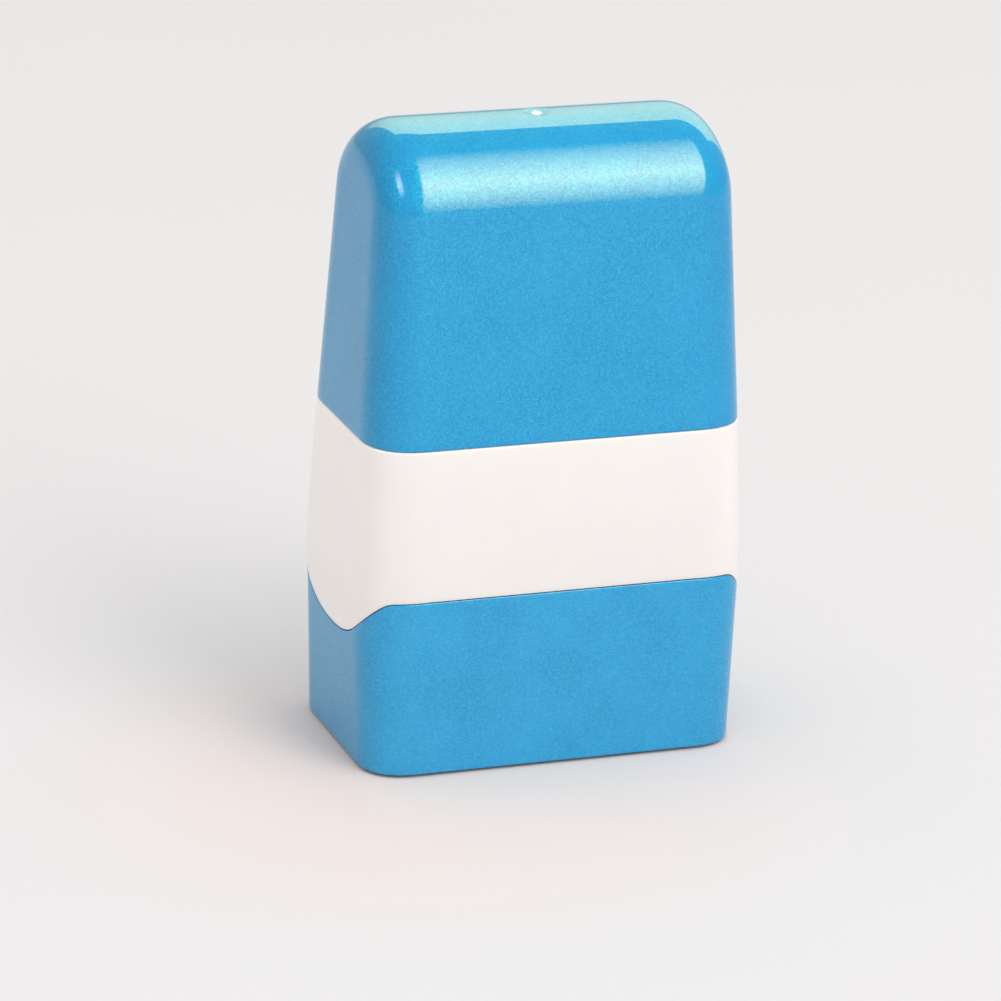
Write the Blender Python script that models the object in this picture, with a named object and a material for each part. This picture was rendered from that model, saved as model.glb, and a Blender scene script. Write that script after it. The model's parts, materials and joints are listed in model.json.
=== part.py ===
"""A hand-held roller stamp that blots out printed addresses.

A blue upper shell and a white grip frame make the handle. A blue end cap covers the rubber drum, which an
ink roller keeps wet. Drum and ink roller sit in a black cartridge that pulls out through the frame's neck.
X runs along the long side, Y from the front face to the back, Z up. The origin is under the cap's middle.
"""

import math

import bmesh
import bpy
from mathutils import Vector

MM = 0.001

# Gaps between neighbouring pieces
SEAM_GAP = 0.3 * MM
SLIDE_FIT = 0.3 * MM
PRESS_FIT = 0.3 * MM
AXLE_PLAY = 0.3 * MM
MERGE = 0.0001 * MM

# Print drum and what it carries, along X from the middle of the print
PRINT_WIDTH = 26.0 * MM
DRUM_RADIUS = 8.0 * MM
RELIEF_HEIGHT = 0.5 * MM
RUBBER_BASE = 1.0 * MM
RING_WIDTH = 1.2 * MM
BUSH_FLANGE = 0.5 * MM

# Axles, as shares of what turns on them
DRUM_AXLE_SHARE = 0.17
INK_AXLE_SHARE = 0.22
CORE_BORE_SHARE = 0.62

# Cartridge walls
CHEEK_WALL = 1.6 * MM
HOUSING_WALL = 1.0 * MM
DRUM_SIDE_GAP = 0.7 * MM
WING_REACH = 1.45 * MM
LID_THICKNESS = 1.2 * MM
LID_LIP = 0.8 * MM

# Walls of the handle and the cap
SPIGOT_WALL = 1.4 * MM
SHELL_WALL = 1.6 * MM
CAP_WALL = 1.4 * MM
CAP_FLOOR = 1.3 * MM
BAND_WALL = 1.6 * MM
CEILING = 0.85 * MM

# Ink roller
INK_RADIUS = 5.2 * MM
FOAM_SHARE = 0.5
FLANGE_SHARE = 0.85
FLANGE_WIDTH = 0.8 * MM

# Heights, stacked up from the table
ROOM_UNDER_DRUM = 7.0 * MM
DRUM_PROTRUSION = 1.8 * MM
HOUSING_REACH = 3.5 * MM
NECK_LENGTH = 7.25 * MM
LID_GAP = 0.6 * MM
SHELL_HEIGHT = 34.45 * MM
SPIGOT_RISE = 5.0 * MM

# Outer form
BASE_WIDTH_DRAFT = 0.8 * MM
BASE_DEPTH_DRAFT = 0.2 * MM
BASE_CORNER = 5.0 * MM
BODY_CORNER = 5.7 * MM
TOP_CORNER = 4.9 * MM
SHOULDER_WIDTH_SWELL = 0.75 * MM
SHOULDER_DEPTH_SWELL = 0.6 * MM
WIDTH_TAPER_SHARE = 0.05
DEPTH_TAPER_SHARE = 0.091
ARCH_RISE_SHARE = 0.8
TONGUE_MARGIN = 0.95 * MM
TONGUE_SPAN_SHARE = 0.94
TONGUE_POWER = 2.4
BASE_EDGE = 0.6 * MM

# Heights that follow
DRUM_BOTTOM = CAP_FLOOR + ROOM_UNDER_DRUM
DRUM_Z = DRUM_BOTTOM + DRUM_RADIUS
HOUSING_BOTTOM = DRUM_BOTTOM + DRUM_PROTRUSION
NECK_END = HOUSING_BOTTOM + HOUSING_REACH
SHOULDER_Z = NECK_END + NECK_LENGTH
INK_Z = DRUM_Z + DRUM_RADIUS + SEAM_GAP + INK_RADIUS
HOUSING_TOP = INK_Z + INK_RADIUS + LID_GAP
LID_Z = HOUSING_TOP + SEAM_GAP
CEILING_Z = LID_Z + LID_THICKNESS + SEAM_GAP
SEAM_Z = CEILING_Z + CEILING
SPIGOT_TOP = SEAM_Z + SPIGOT_RISE
BODY_HEIGHT = SEAM_Z + SHELL_HEIGHT

# Half sizes that follow, from the drum outwards
DRUM_HALF_LENGTH = PRINT_WIDTH / 2 + SEAM_GAP + RING_WIDTH
CAVITY_HALF_WIDTH = DRUM_HALF_LENGTH + SEAM_GAP + BUSH_FLANGE + SEAM_GAP
HOUSING_HALF_WIDTH = CAVITY_HALF_WIDTH + CHEEK_WALL
CAVITY_HALF_DEPTH = DRUM_RADIUS + DRUM_SIDE_GAP
HOUSING_HALF_DEPTH = CAVITY_HALF_DEPTH + HOUSING_WALL
WING_HALF_WIDTH = HOUSING_HALF_WIDTH + WING_REACH
GUIDE_HALF_WIDTH = WING_HALF_WIDTH + SLIDE_FIT
GUIDE_HALF_DEPTH = HOUSING_HALF_DEPTH + SLIDE_FIT
SPIGOT_INSET = SHELL_WALL + SLIDE_FIT
SEAM_HALF_WIDTH = GUIDE_HALF_WIDTH + SPIGOT_WALL + SPIGOT_INSET
SEAM_HALF_DEPTH = GUIDE_HALF_DEPTH + SPIGOT_WALL + SPIGOT_INSET
SHOULDER_HALF_WIDTH = SEAM_HALF_WIDTH + SHOULDER_WIDTH_SWELL
SHOULDER_HALF_DEPTH = SEAM_HALF_DEPTH + SHOULDER_DEPTH_SWELL
NECK_INSET = CAP_WALL + SLIDE_FIT
TONGUE_DROP = NECK_LENGTH - TONGUE_MARGIN

# Steps of the round forms
CORNER_STEPS = 6
END_STEPS = 8
BAND_STEPS = 4
ARCH_STEPS = 10
ROUND_STEPS = 28


def clear_scene():
    for obj in list(bpy.data.objects):
        bpy.data.objects.remove(obj)


def material(name, colour, roughness, metallic=0.0):
    made = bpy.data.materials.new(name)
    made.use_nodes = True
    shader = made.node_tree.nodes["Principled BSDF"]
    shader.inputs["Base Color"].default_value = (*colour, 1.0)
    shader.inputs["Roughness"].default_value = roughness
    shader.inputs["Metallic"].default_value = metallic
    return made


def finish(name, bm, look, parent=None, cutter=False):
    """Turns a bmesh into a named object with its look, shaded smooth apart from its sharp edges."""
    bmesh.ops.recalc_face_normals(bm, faces=bm.faces)
    mesh = bpy.data.meshes.new(name)
    bm.to_mesh(mesh)
    bm.free()
    mesh.shade_smooth()
    mesh.set_sharp_from_angle(angle=math.radians(35))
    obj = bpy.data.objects.new(name, mesh)
    bpy.context.scene.collection.objects.link(obj)
    if look:
        mesh.materials.append(look)
    if parent:
        obj.parent = parent
        obj.location = -parent.location
    if cutter:
        obj.hide_render = True
        obj.display_type = "WIRE"
    return obj


def combine(target, other, operation):
    """Adds a Boolean of the hidden helper to the target."""
    modifier = target.modifiers.new(other.name, "BOOLEAN")
    modifier.operation = operation
    modifier.solver = "EXACT"
    modifier.object = other


def outline_shares():
    """Each point of a rounded rectangle as (kx, ky, ux, uy), counterclockwise from its front right corner.

    The point is kx, ky times the straight half sizes plus ux, uy times the corner radius. Each corner is an
    arc of equal steps, and each end wall is divided evenly between its two corners.
    """
    shares = []
    for side_x, side_y, start in ((1, -1, -0.5), (1, 1, 0.0), (-1, 1, 0.5), (-1, -1, 1.0)):
        for step in range(CORNER_STEPS + 1):
            angle = math.pi * (start + step / (2 * CORNER_STEPS))
            shares.append((side_x, side_y, math.cos(angle), math.sin(angle)))
        if side_x != side_y:
            for step in range(1, END_STEPS):
                shares.append((side_x, side_y * (1 - 2 * step / END_STEPS), side_x, 0.0))
    return shares


SHARES = outline_shares()


def flat_ring(half_width, half_depth, radius, z):
    straight_x, straight_y = half_width - radius, half_depth - radius
    ring = [(kx * straight_x + ux * radius, ky * straight_y + uy * radius) for kx, ky, ux, uy in SHARES]
    return [Vector((x, y, z)) for x, y in ring]


def loft(bm, rings, closed=False):
    """Joins rings of equally many points with faces. Unless their row is closed, its two ends are filled."""
    rows = [[bm.verts.new(point) for point in ring] for ring in rings]
    pairs = list(zip(rows, rows[1:]))
    if closed:
        pairs.append((rows[-1], rows[0]))
    for low, high in pairs:
        for index in range(len(low)):
            following = (index + 1) % len(low)
            bm.faces.new((low[index], low[following], high[following], high[index]))
    if not closed:
        bm.faces.new(rows[0])
        bm.faces.new(rows[-1])


def circle_about_x(x, radius, z):
    """Points round the line along X at the height z."""
    turns = [2 * math.pi * step / ROUND_STEPS for step in range(ROUND_STEPS)]
    return [Vector((x, radius * math.sin(turn), z + radius * math.cos(turn))) for turn in turns]


def circle_about_z(x, radius, z):
    """Points round the upright line through x."""
    turns = [2 * math.pi * step / ROUND_STEPS for step in range(ROUND_STEPS)]
    return [Vector((x + radius * math.cos(turn), radius * math.sin(turn), z)) for turn in turns]


def turned_piece(name, profile, axis_z, look, parent, hollow=True):
    """Turns (x, radius) points about the line along X: a profile round a bore, or a solid rod's outside."""
    bm = bmesh.new()
    loft(bm, [circle_about_x(x, radius, axis_z) for x, radius in profile], closed=hollow)
    return finish(name, bm, look, parent)


def block(bm, low, high):
    """An upright box between two corners."""
    xs, ys, zs = zip(low, high)
    corners = [bm.verts.new((x, y, z)) for z in zs for y in ys for x in xs]
    for face in ((0, 1, 3, 2), (4, 5, 7, 6), (0, 1, 5, 4), (2, 3, 7, 6), (0, 2, 6, 4), (1, 3, 7, 5)):
        bm.faces.new([corners[i] for i in face])


# The body's outer form: what every outside piece shares

def band_half(seam_half, shoulder_half, taper, z):
    """A parabola that leaves the shell's straight taper at the seam and reaches the shoulder's half size."""
    height, below = SEAM_Z - SHOULDER_Z, SEAM_Z - z
    bend = (seam_half + taper * height - shoulder_half) / height**2
    return seam_half + taper * below - bend * below**2


def outer_half(seam_half, shoulder_half, taper, draft, z):
    """Half size at a height: straight draft on the cap, a parabola on the band, a straight taper above."""
    if z <= SHOULDER_Z:
        return shoulder_half - draft * (1 - z / SHOULDER_Z)
    if z <= SEAM_Z:
        return band_half(seam_half, shoulder_half, taper, z)
    return seam_half - taper * (z - SEAM_Z)


def half_width(z):
    return outer_half(SEAM_HALF_WIDTH, SHOULDER_HALF_WIDTH, WIDTH_TAPER_SHARE, BASE_WIDTH_DRAFT, z)


def half_depth(z):
    return outer_half(SEAM_HALF_DEPTH, SHOULDER_HALF_DEPTH, DEPTH_TAPER_SHARE, BASE_DEPTH_DRAFT, z)


def corner(z):
    return BASE_CORNER + (BODY_CORNER - BASE_CORNER) * min(1.0, z / SHOULDER_Z)


def level(inset, z):
    """The body's outline at a height, taken in on all sides."""
    return flat_ring(half_width(z) - inset, half_depth(z) - inset, corner(z) - inset, z)


def rim(inset, lift=0.0):
    """The curve where cap and frame meet: level on the long sides, with a tongue down each end wall."""
    points = []
    tongue_half = SHOULDER_HALF_DEPTH * TONGUE_SPAN_SHARE
    for index, point in enumerate(level(0.0, SHOULDER_Z)):
        drop = TONGUE_DROP * max(0.0, 1 - (abs(point.y) / tongue_half) ** TONGUE_POWER)
        points.append(level(inset, SHOULDER_Z - drop + lift)[index])
    return points


def arch_rings(inset):
    """Rings over the arched top, from its foot to its crest, where the ring closes to a line.

    The long sides follow half an ellipse that the walls touch. A fillet of the top's corner radius runs
    round it on each end, so each end wall is the arch drawn in by that radius.
    """
    foot = math.atan(DEPTH_TAPER_SHARE * ARCH_RISE_SHARE)
    crest_half = SEAM_HALF_DEPTH - DEPTH_TAPER_SHARE * SHELL_HEIGHT
    lean = DEPTH_TAPER_SHARE * ARCH_RISE_SHARE * (1 - math.sin(foot))
    reach = crest_half / (math.cos(foot) - lean)
    rise = reach * ARCH_RISE_SHARE
    rings = []
    for step in range(ARCH_STEPS + 1):
        angle = foot + (math.pi / 2 - foot) * step / ARCH_STEPS
        outward = Vector((0.0, math.cos(angle) * rise, math.sin(angle) * reach)).normalized()
        arch = Vector((0.0, reach * math.cos(angle), BODY_HEIGHT - rise + rise * math.sin(angle)))
        core = arch - outward * TOP_CORNER
        fillet = outward * (TOP_CORNER - inset)
        ring = []
        for kx, ky, ux, uy in SHARES:
            y, z = ky * core.y + uy * fillet.y, core.z + abs(uy) * fillet.z
            ring.append(Vector((kx * (half_width(z) - TOP_CORNER) + ux * (TOP_CORNER - inset), y, z)))
        rings.append(ring)
    return rings


# Root of the tree: the handle

BAND_EDGE = 1.2 * MM
LUG_WIDTH = 8.0 * MM
LUG_HEIGHT = 1.6 * MM
LUG_REACH = 0.9 * MM
LUG_ABOVE_SEAM = 2.4 * MM
LUG_ROOT = 0.7 * MM


def lug_blocks(bm, side, room):
    """The snap lug on one long side of the spigot, or with room around it the pocket that it clicks into."""
    low, high = SEAM_Z + LUG_ABOVE_SEAM, SEAM_Z + LUG_ABOVE_SEAM + LUG_HEIGHT
    face = half_depth((low + high) / 2) - SPIGOT_INSET
    near, far = sorted((side * (face - LUG_ROOT), side * (face + LUG_REACH + room)))
    block(bm, (-LUG_WIDTH / 2 - room, near, low - room), (LUG_WIDTH / 2 + room, far, high + room))


def grip_frame(look):
    """White frame: band, tongues, neck, spigot and the ceiling that stops the cartridge, in one moulding."""
    band_low = SHOULDER_Z + SEAM_GAP + BAND_EDGE
    heights = [SEAM_Z + (band_low - SEAM_Z) * step / BAND_STEPS for step in range(BAND_STEPS + 1)]
    inner_low, inner_high = SHOULDER_Z + BAND_WALL, CEILING_Z
    inner = [inner_low + (inner_high - inner_low) * step / BAND_STEPS for step in range(BAND_STEPS + 1)]
    guide_corner = BODY_CORNER - NECK_INSET
    rings = [
        level(SPIGOT_INSET + SPIGOT_WALL, SEAM_Z),
        level(SPIGOT_INSET + SPIGOT_WALL, SPIGOT_TOP),
        level(SPIGOT_INSET, SPIGOT_TOP),
        level(SPIGOT_INSET, SEAM_Z),
        *[level(0.0, z) for z in heights],
        rim(0.0, SEAM_GAP),
        rim(NECK_INSET, SEAM_GAP),
        level(NECK_INSET, NECK_END),
        flat_ring(GUIDE_HALF_WIDTH, GUIDE_HALF_DEPTH, guide_corner, NECK_END),
        flat_ring(GUIDE_HALF_WIDTH, GUIDE_HALF_DEPTH, guide_corner, inner_low),
        *[level(BAND_WALL, z) for z in inner],
    ]
    bm = bmesh.new()
    loft(bm, rings)
    frame = finish("grip_frame", bm, look)
    for side, name in ((-1, "front"), (1, "back")):
        bm = bmesh.new()
        lug_blocks(bm, side, 0.0)
        combine(frame, finish(f"lug_{name}", bm, None, cutter=True), "UNION")
    return frame


GATE_DIMPLE_RADIUS = 1.6 * MM
GATE_DIMPLE_DEPTH = 0.45 * MM
GATE_NUB_RADIUS = 0.75 * MM
CUT_OVERRUN = 2.0 * MM


def upper_shell(look):
    """Blue shell: tapered walls under a full-round top, with the moulding gate's dimple at its crest."""
    foot = SEAM_Z + SEAM_GAP
    bm = bmesh.new()
    rings = [*reversed(arch_rings(0.0)), level(0.0, foot), level(SHELL_WALL, foot), *arch_rings(SHELL_WALL)]
    loft(bm, rings)
    bmesh.ops.remove_doubles(bm, verts=bm.verts, dist=MERGE)
    bmesh.ops.dissolve_degenerate(bm, edges=bm.edges, dist=MERGE)
    shell = finish("upper_shell", bm, look)
    for side, name in ((-1, "front"), (1, "back")):
        bm = bmesh.new()
        lug_blocks(bm, side, SLIDE_FIT)
        combine(shell, finish(f"pocket_{name}", bm, None, cutter=True), "DIFFERENCE")
    floor = BODY_HEIGHT - GATE_DIMPLE_DEPTH
    bm = bmesh.new()
    rings = []
    for radius, z in (
        (GATE_DIMPLE_RADIUS, floor + CUT_OVERRUN),
        (GATE_DIMPLE_RADIUS, floor),
        (GATE_NUB_RADIUS, floor),
        (GATE_NUB_RADIUS, floor + CUT_OVERRUN),
    ):
        rings.append(circle_about_z(0.0, radius, z))
    loft(bm, rings, closed=True)
    combine(shell, finish("gate_dimple", bm, None, cutter=True), "DIFFERENCE")
    return shell


def end_cap(look, parent):
    """Blue pull-off cap, with an arc cut out of each end wall for the frame's tongue."""
    bm = bmesh.new()
    bend = BASE_EDGE * (1 - math.sqrt(0.5))
    rings = [
        level(BASE_EDGE, 0.0),
        level(bend, bend),
        level(0.0, BASE_EDGE),
        rim(0.0),
        rim(CAP_WALL),
        level(CAP_WALL, CAP_FLOOR),
    ]
    loft(bm, rings)
    return finish("end_cap", bm, look, parent)


# The cartridge

HOUSING_CORNER = 3.0 * MM
CAVITY_CORNER = 1.2 * MM
WING_THICKNESS = 1.4 * MM
WING_SPREAD = 4.6 * MM
WING_LIFT = 0.5 * MM
FILL_HOLE_RADIUS = 1.5 * MM
FILL_HOLE_SPREAD = 6.0 * MM
DRUM_AXLE_RADIUS = DRUM_RADIUS * DRUM_AXLE_SHARE
INK_AXLE_RADIUS = INK_RADIUS * INK_AXLE_SHARE
CLIP_THICKNESS = 0.5 * MM
CLIP_WALL = 1.0 * MM
AXLE_END = 0.3 * MM


def tube_profile(start, end, bore, outside):
    return [(start, bore), (start, outside), (end, outside), (end, bore)]


def cartridge_housing(look, parent):
    """Black open-ended housing: cheeks with the axle bores, thin long walls, and guide wings on both ends."""
    bm = bmesh.new()
    outer = (HOUSING_HALF_WIDTH, HOUSING_HALF_DEPTH, HOUSING_CORNER)
    inner = (CAVITY_HALF_WIDTH, CAVITY_HALF_DEPTH, CAVITY_CORNER)
    rings = [
        flat_ring(*outer, HOUSING_BOTTOM),
        flat_ring(*outer, HOUSING_TOP),
        flat_ring(*inner, HOUSING_TOP),
        flat_ring(*inner, HOUSING_BOTTOM),
    ]
    loft(bm, rings, closed=True)
    housing = finish("cartridge_housing", bm, look, parent)
    bm = bmesh.new()
    for side in (-1, 1):
        for spread in (-WING_SPREAD, WING_SPREAD):
            near, far = sorted((side * (HOUSING_HALF_WIDTH - CHEEK_WALL / 2), side * WING_HALF_WIDTH))
            low = (near, spread - WING_THICKNESS / 2, NECK_END + WING_LIFT)
            high = (far, spread + WING_THICKNESS / 2, HOUSING_TOP - WING_LIFT)
            block(bm, low, high)
    combine(housing, finish("wings", bm, None, cutter=True), "UNION")
    reach = WING_HALF_WIDTH + CUT_OVERRUN
    bm = bmesh.new()
    for radius, z in ((DRUM_AXLE_RADIUS, DRUM_Z), (INK_AXLE_RADIUS, INK_Z)):
        loft(bm, [circle_about_x(x, radius + AXLE_PLAY, z) for x in (-reach, reach)])
    combine(housing, finish("axle_bores", bm, None, cutter=True), "DIFFERENCE")
    return housing


def cartridge_lid(look, parent):
    """Black lid: a plate with a locating lip inside the walls and two holes for refilling the ink roller."""
    bm = bmesh.new()
    outer = (HOUSING_HALF_WIDTH, HOUSING_HALF_DEPTH, HOUSING_CORNER)
    lip = [size - SLIDE_FIT for size in (CAVITY_HALF_WIDTH, CAVITY_HALF_DEPTH, CAVITY_CORNER)]
    inside = [size - HOUSING_WALL for size in (CAVITY_HALF_WIDTH, CAVITY_HALF_DEPTH)]
    rings = [
        flat_ring(*outer, LID_Z + LID_THICKNESS),
        flat_ring(*outer, LID_Z),
        flat_ring(*lip, LID_Z),
        flat_ring(*lip, LID_Z - LID_LIP),
        flat_ring(*inside, lip[2] / 2, LID_Z - LID_LIP),
        flat_ring(*inside, lip[2] / 2, LID_Z),
    ]
    loft(bm, rings)
    lid = finish("cartridge_lid", bm, look, parent)
    bm = bmesh.new()
    low, high = LID_Z - CUT_OVERRUN, LID_Z + LID_THICKNESS + CUT_OVERRUN
    for x in (-FILL_HOLE_SPREAD, FILL_HOLE_SPREAD):
        loft(bm, [circle_about_z(x, FILL_HOLE_RADIUS, z) for z in (low, high)])
    combine(lid, finish("fill_holes", bm, None, cutter=True), "DIFFERENCE")
    return lid


def axle_and_clips(name, radius, z, steel, clip_look, parent):
    """A steel axle through both cheeks, kept in place by a push-on clip at each end."""
    near = HOUSING_HALF_WIDTH + SEAM_GAP
    reach = near + CLIP_THICKNESS + AXLE_END
    turned_piece(f"{name}_axle", [(-reach, radius), (reach, radius)], z, steel, parent, hollow=False)
    bore = radius + AXLE_PLAY
    for side, word in ((-1, "left"), (1, "right")):
        start, end = sorted((side * near, side * (near + CLIP_THICKNESS)))
        profile = tube_profile(start, end, bore, bore + CLIP_WALL)
        turned_piece(f"{name}_clip_{word}", profile, z, clip_look, parent)


# The drum

BUSH_FLANGE_RISE = 1.2 * MM
BUSH_LENGTH = 4.0 * MM
RELIEF_ROWS = 12
RELIEF_COLUMNS = 5
CROWN_SHARE = 0.3
GROOVE_SHARE = 0.3
PAD_GAP_SHARE = 0.2

CORE_RADIUS = DRUM_RADIUS - RELIEF_HEIGHT - RUBBER_BASE - PRESS_FIT
DRUM_BORE = DRUM_AXLE_RADIUS + AXLE_PLAY
CORE_BORE = CORE_RADIUS * CORE_BORE_SHARE


def drum_core(look, parent):
    """Plain plastic tube that the rubber sleeve and the two traction rings sit on."""
    profile = tube_profile(-DRUM_HALF_LENGTH, DRUM_HALF_LENGTH, CORE_BORE, CORE_RADIUS)
    return turned_piece("drum_core", profile, DRUM_Z, look, parent)


def drum_bushes(look, parent):
    """Flanged bushes, pressed into the core's ends, that run on the axle."""
    inner_end = DRUM_HALF_LENGTH - BUSH_LENGTH
    face = DRUM_HALF_LENGTH + SEAM_GAP
    outside = CORE_BORE - PRESS_FIT
    flange = outside + BUSH_FLANGE_RISE
    for side, word in ((-1, "left"), (1, "right")):
        profile = [
            (side * inner_end, DRUM_BORE),
            (side * inner_end, outside),
            (side * face, outside),
            (side * face, flange),
            (side * (face + BUSH_FLANGE), flange),
            (side * (face + BUSH_FLANGE), DRUM_BORE),
        ]
        turned_piece(f"drum_bush_{word}", profile, DRUM_Z, look, parent)


def traction_rings(look, parent):
    """Rubber rings at both ends of the drum, as high as the relief, that roll on the paper."""
    bore = CORE_RADIUS + PRESS_FIT
    near = PRINT_WIDTH / 2 + SEAM_GAP
    crown = RELIEF_HEIGHT * CROWN_SHARE
    shoulder = RING_WIDTH * CROWN_SHARE
    for side, word in ((-1, "left"), (1, "right")):
        profile = [
            (side * near, bore),
            (side * near, DRUM_RADIUS - crown),
            (side * (near + shoulder), DRUM_RADIUS),
            (side * (near + RING_WIDTH - shoulder), DRUM_RADIUS),
            (side * (near + RING_WIDTH), DRUM_RADIUS - crown),
            (side * (near + RING_WIDTH), bore),
        ]
        turned_piece(f"traction_ring_{word}", profile, DRUM_Z, look, parent)


def stamp_sleeve(look, parent):
    """Rubber sleeve with raised pads, in staggered rows, that print a blotting pattern.

    Its surface is a grid of angles and places along X. The pads' cells are pushed out by the relief's height.
    """
    base = DRUM_RADIUS - RELIEF_HEIGHT
    bore = CORE_RADIUS + PRESS_FIT
    row_turn = 2 * math.pi / RELIEF_ROWS
    turns = [row_turn * (row + edge) for row in range(RELIEF_ROWS) for edge in (0.0, 1.0 - GROOVE_SHARE)]
    pitch = PRINT_WIDTH / RELIEF_COLUMNS
    shares = [column + edge for column in range(RELIEF_COLUMNS) for edge in (0.0, PAD_GAP_SHARE)]
    shares += [column + 0.5 + edge for column in range(RELIEF_COLUMNS) for edge in (0.0, PAD_GAP_SHARE)]
    places = sorted({round(share, 6) for share in shares} | {float(RELIEF_COLUMNS)})
    bm = bmesh.new()
    columns = [place * pitch - PRINT_WIDTH / 2 for place in places]
    outside = [[bm.verts.new((x, base * math.sin(a), base * math.cos(a))) for a in turns] for x in columns]
    ends = (-PRINT_WIDTH / 2, PRINT_WIDTH / 2)
    inside = [[bm.verts.new((x, bore * math.sin(a), bore * math.cos(a))) for a in turns] for x in ends]
    pads = []
    for column, (near, far) in enumerate(zip(outside, outside[1:])):
        middle = (places[column] + places[column + 1]) / 2
        for index in range(len(turns)):
            following = (index + 1) % len(turns)
            face = bm.faces.new((near[index], near[following], far[following], far[index]))
            row, is_pad_row = index // 2, index % 2 == 0
            phase = (middle - 0.5 * (row % 2)) % 1.0
            if is_pad_row and phase > PAD_GAP_SHARE:
                pads.append(face)
    for near, far in ((inside[0], outside[0]), (outside[-1], inside[1]), (inside[1], inside[0])):
        for index in range(len(turns)):
            following = (index + 1) % len(turns)
            bm.faces.new((near[index], near[following], far[following], far[index]))
    raised = bmesh.ops.extrude_face_region(bm, geom=pads)["geom"]
    lift = DRUM_RADIUS / base
    for item in raised:
        if isinstance(item, bmesh.types.BMVert):
            item.co.y *= lift
            item.co.z *= lift
    bmesh.ops.delete(bm, geom=pads, context="FACES")
    for vert in bm.verts:
        vert.co.z += DRUM_Z
    return finish("stamp_sleeve", bm, look, parent)


# The ink roller

FOAM_BORE = INK_RADIUS * FOAM_SHARE
SPOOL_RADIUS = FOAM_BORE - PRESS_FIT
INK_BORE = INK_AXLE_RADIUS + AXLE_PLAY


def ink_roller(plastic, foam, parent):
    """Flanged spool with a foam sleeve, which takes up the ink and lays it on the rubber pads."""
    half = PRINT_WIDTH / 2
    flange = INK_RADIUS * FLANGE_SHARE
    near, far, end = half + SEAM_GAP, half + SEAM_GAP + FLANGE_WIDTH, CAVITY_HALF_WIDTH - SLIDE_FIT
    one_side = [(near, SPOOL_RADIUS), (near, flange), (far, flange), (far, SPOOL_RADIUS), (end, SPOOL_RADIUS)]
    other_side = [(-x, radius) for x, radius in reversed(one_side)]
    profile = [(-end, INK_BORE), *other_side, *one_side, (end, INK_BORE)]
    turned_piece("ink_spool", profile, INK_Z, plastic, parent)
    turned_piece("ink_foam", tube_profile(-half, half, FOAM_BORE, INK_RADIUS), INK_Z, foam, parent)


def pivot(name, location=(0.0, 0.0, 0.0)):
    empty = bpy.data.objects.new(name, None)
    empty.location = location
    bpy.context.scene.collection.objects.link(empty)
    return empty


def main():
    clear_scene()
    pearl_blue = material("pearl_blue", (0.035, 0.28, 0.56), 0.25, 0.35)
    ivory_white = material("ivory_white", (0.86, 0.83, 0.80), 0.35)
    black_plastic = material("black_plastic", (0.02, 0.02, 0.022), 0.45)
    grey_plastic = material("grey_plastic", (0.55, 0.56, 0.57), 0.4)
    stamp_rubber = material("stamp_rubber", (0.05, 0.05, 0.055), 0.7)
    ink_foam = material("ink_foam", (0.015, 0.015, 0.02), 0.95)
    steel = material("steel", (0.62, 0.62, 0.63), 0.25, 1.0)

    cap_slide = pivot("cap_slide")
    cartridge_slide = pivot("cartridge_slide")
    drum_spin = pivot("drum_spin", (0.0, 0.0, DRUM_Z))
    ink_spin = pivot("ink_spin", (0.0, 0.0, INK_Z))

    grip_frame(ivory_white)
    upper_shell(pearl_blue)
    end_cap(pearl_blue, cap_slide)
    cartridge_housing(black_plastic, cartridge_slide)
    cartridge_lid(black_plastic, cartridge_slide)
    axle_and_clips("drum", DRUM_AXLE_RADIUS, DRUM_Z, steel, steel, cartridge_slide)
    axle_and_clips("ink", INK_AXLE_RADIUS, INK_Z, steel, steel, cartridge_slide)
    drum_core(grey_plastic, drum_spin)
    drum_bushes(ivory_white, drum_spin)
    traction_rings(stamp_rubber, drum_spin)
    stamp_sleeve(stamp_rubber, drum_spin)
    ink_roller(grey_plastic, ink_foam, ink_spin)


main()
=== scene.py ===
import json
import math

import bmesh
import bpy
import numpy as np
from mathutils import Matrix, Vector

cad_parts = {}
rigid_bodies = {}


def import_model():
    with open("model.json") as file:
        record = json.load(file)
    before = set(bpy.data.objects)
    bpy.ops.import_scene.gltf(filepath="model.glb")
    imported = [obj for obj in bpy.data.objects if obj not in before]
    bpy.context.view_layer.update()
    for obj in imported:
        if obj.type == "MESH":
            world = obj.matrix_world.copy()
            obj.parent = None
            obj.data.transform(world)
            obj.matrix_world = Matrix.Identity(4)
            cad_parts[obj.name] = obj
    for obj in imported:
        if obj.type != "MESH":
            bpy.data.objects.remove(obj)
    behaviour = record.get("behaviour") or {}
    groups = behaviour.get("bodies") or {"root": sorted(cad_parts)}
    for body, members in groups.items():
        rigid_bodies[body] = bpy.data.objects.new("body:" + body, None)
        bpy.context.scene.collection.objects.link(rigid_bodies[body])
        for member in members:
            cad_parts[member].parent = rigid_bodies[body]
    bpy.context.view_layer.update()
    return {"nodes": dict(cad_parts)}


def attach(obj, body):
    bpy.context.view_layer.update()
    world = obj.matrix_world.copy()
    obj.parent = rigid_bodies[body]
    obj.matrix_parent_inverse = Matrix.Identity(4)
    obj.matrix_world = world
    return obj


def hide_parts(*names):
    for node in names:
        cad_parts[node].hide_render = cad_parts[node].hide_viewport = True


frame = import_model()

# The grip frame
# One white injection moulding: the band by which the stamp is held, a rounded tongue down each end wall, a
# neck that the cap slides over, and above the band a spigot that snaps into the upper shell.

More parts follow.
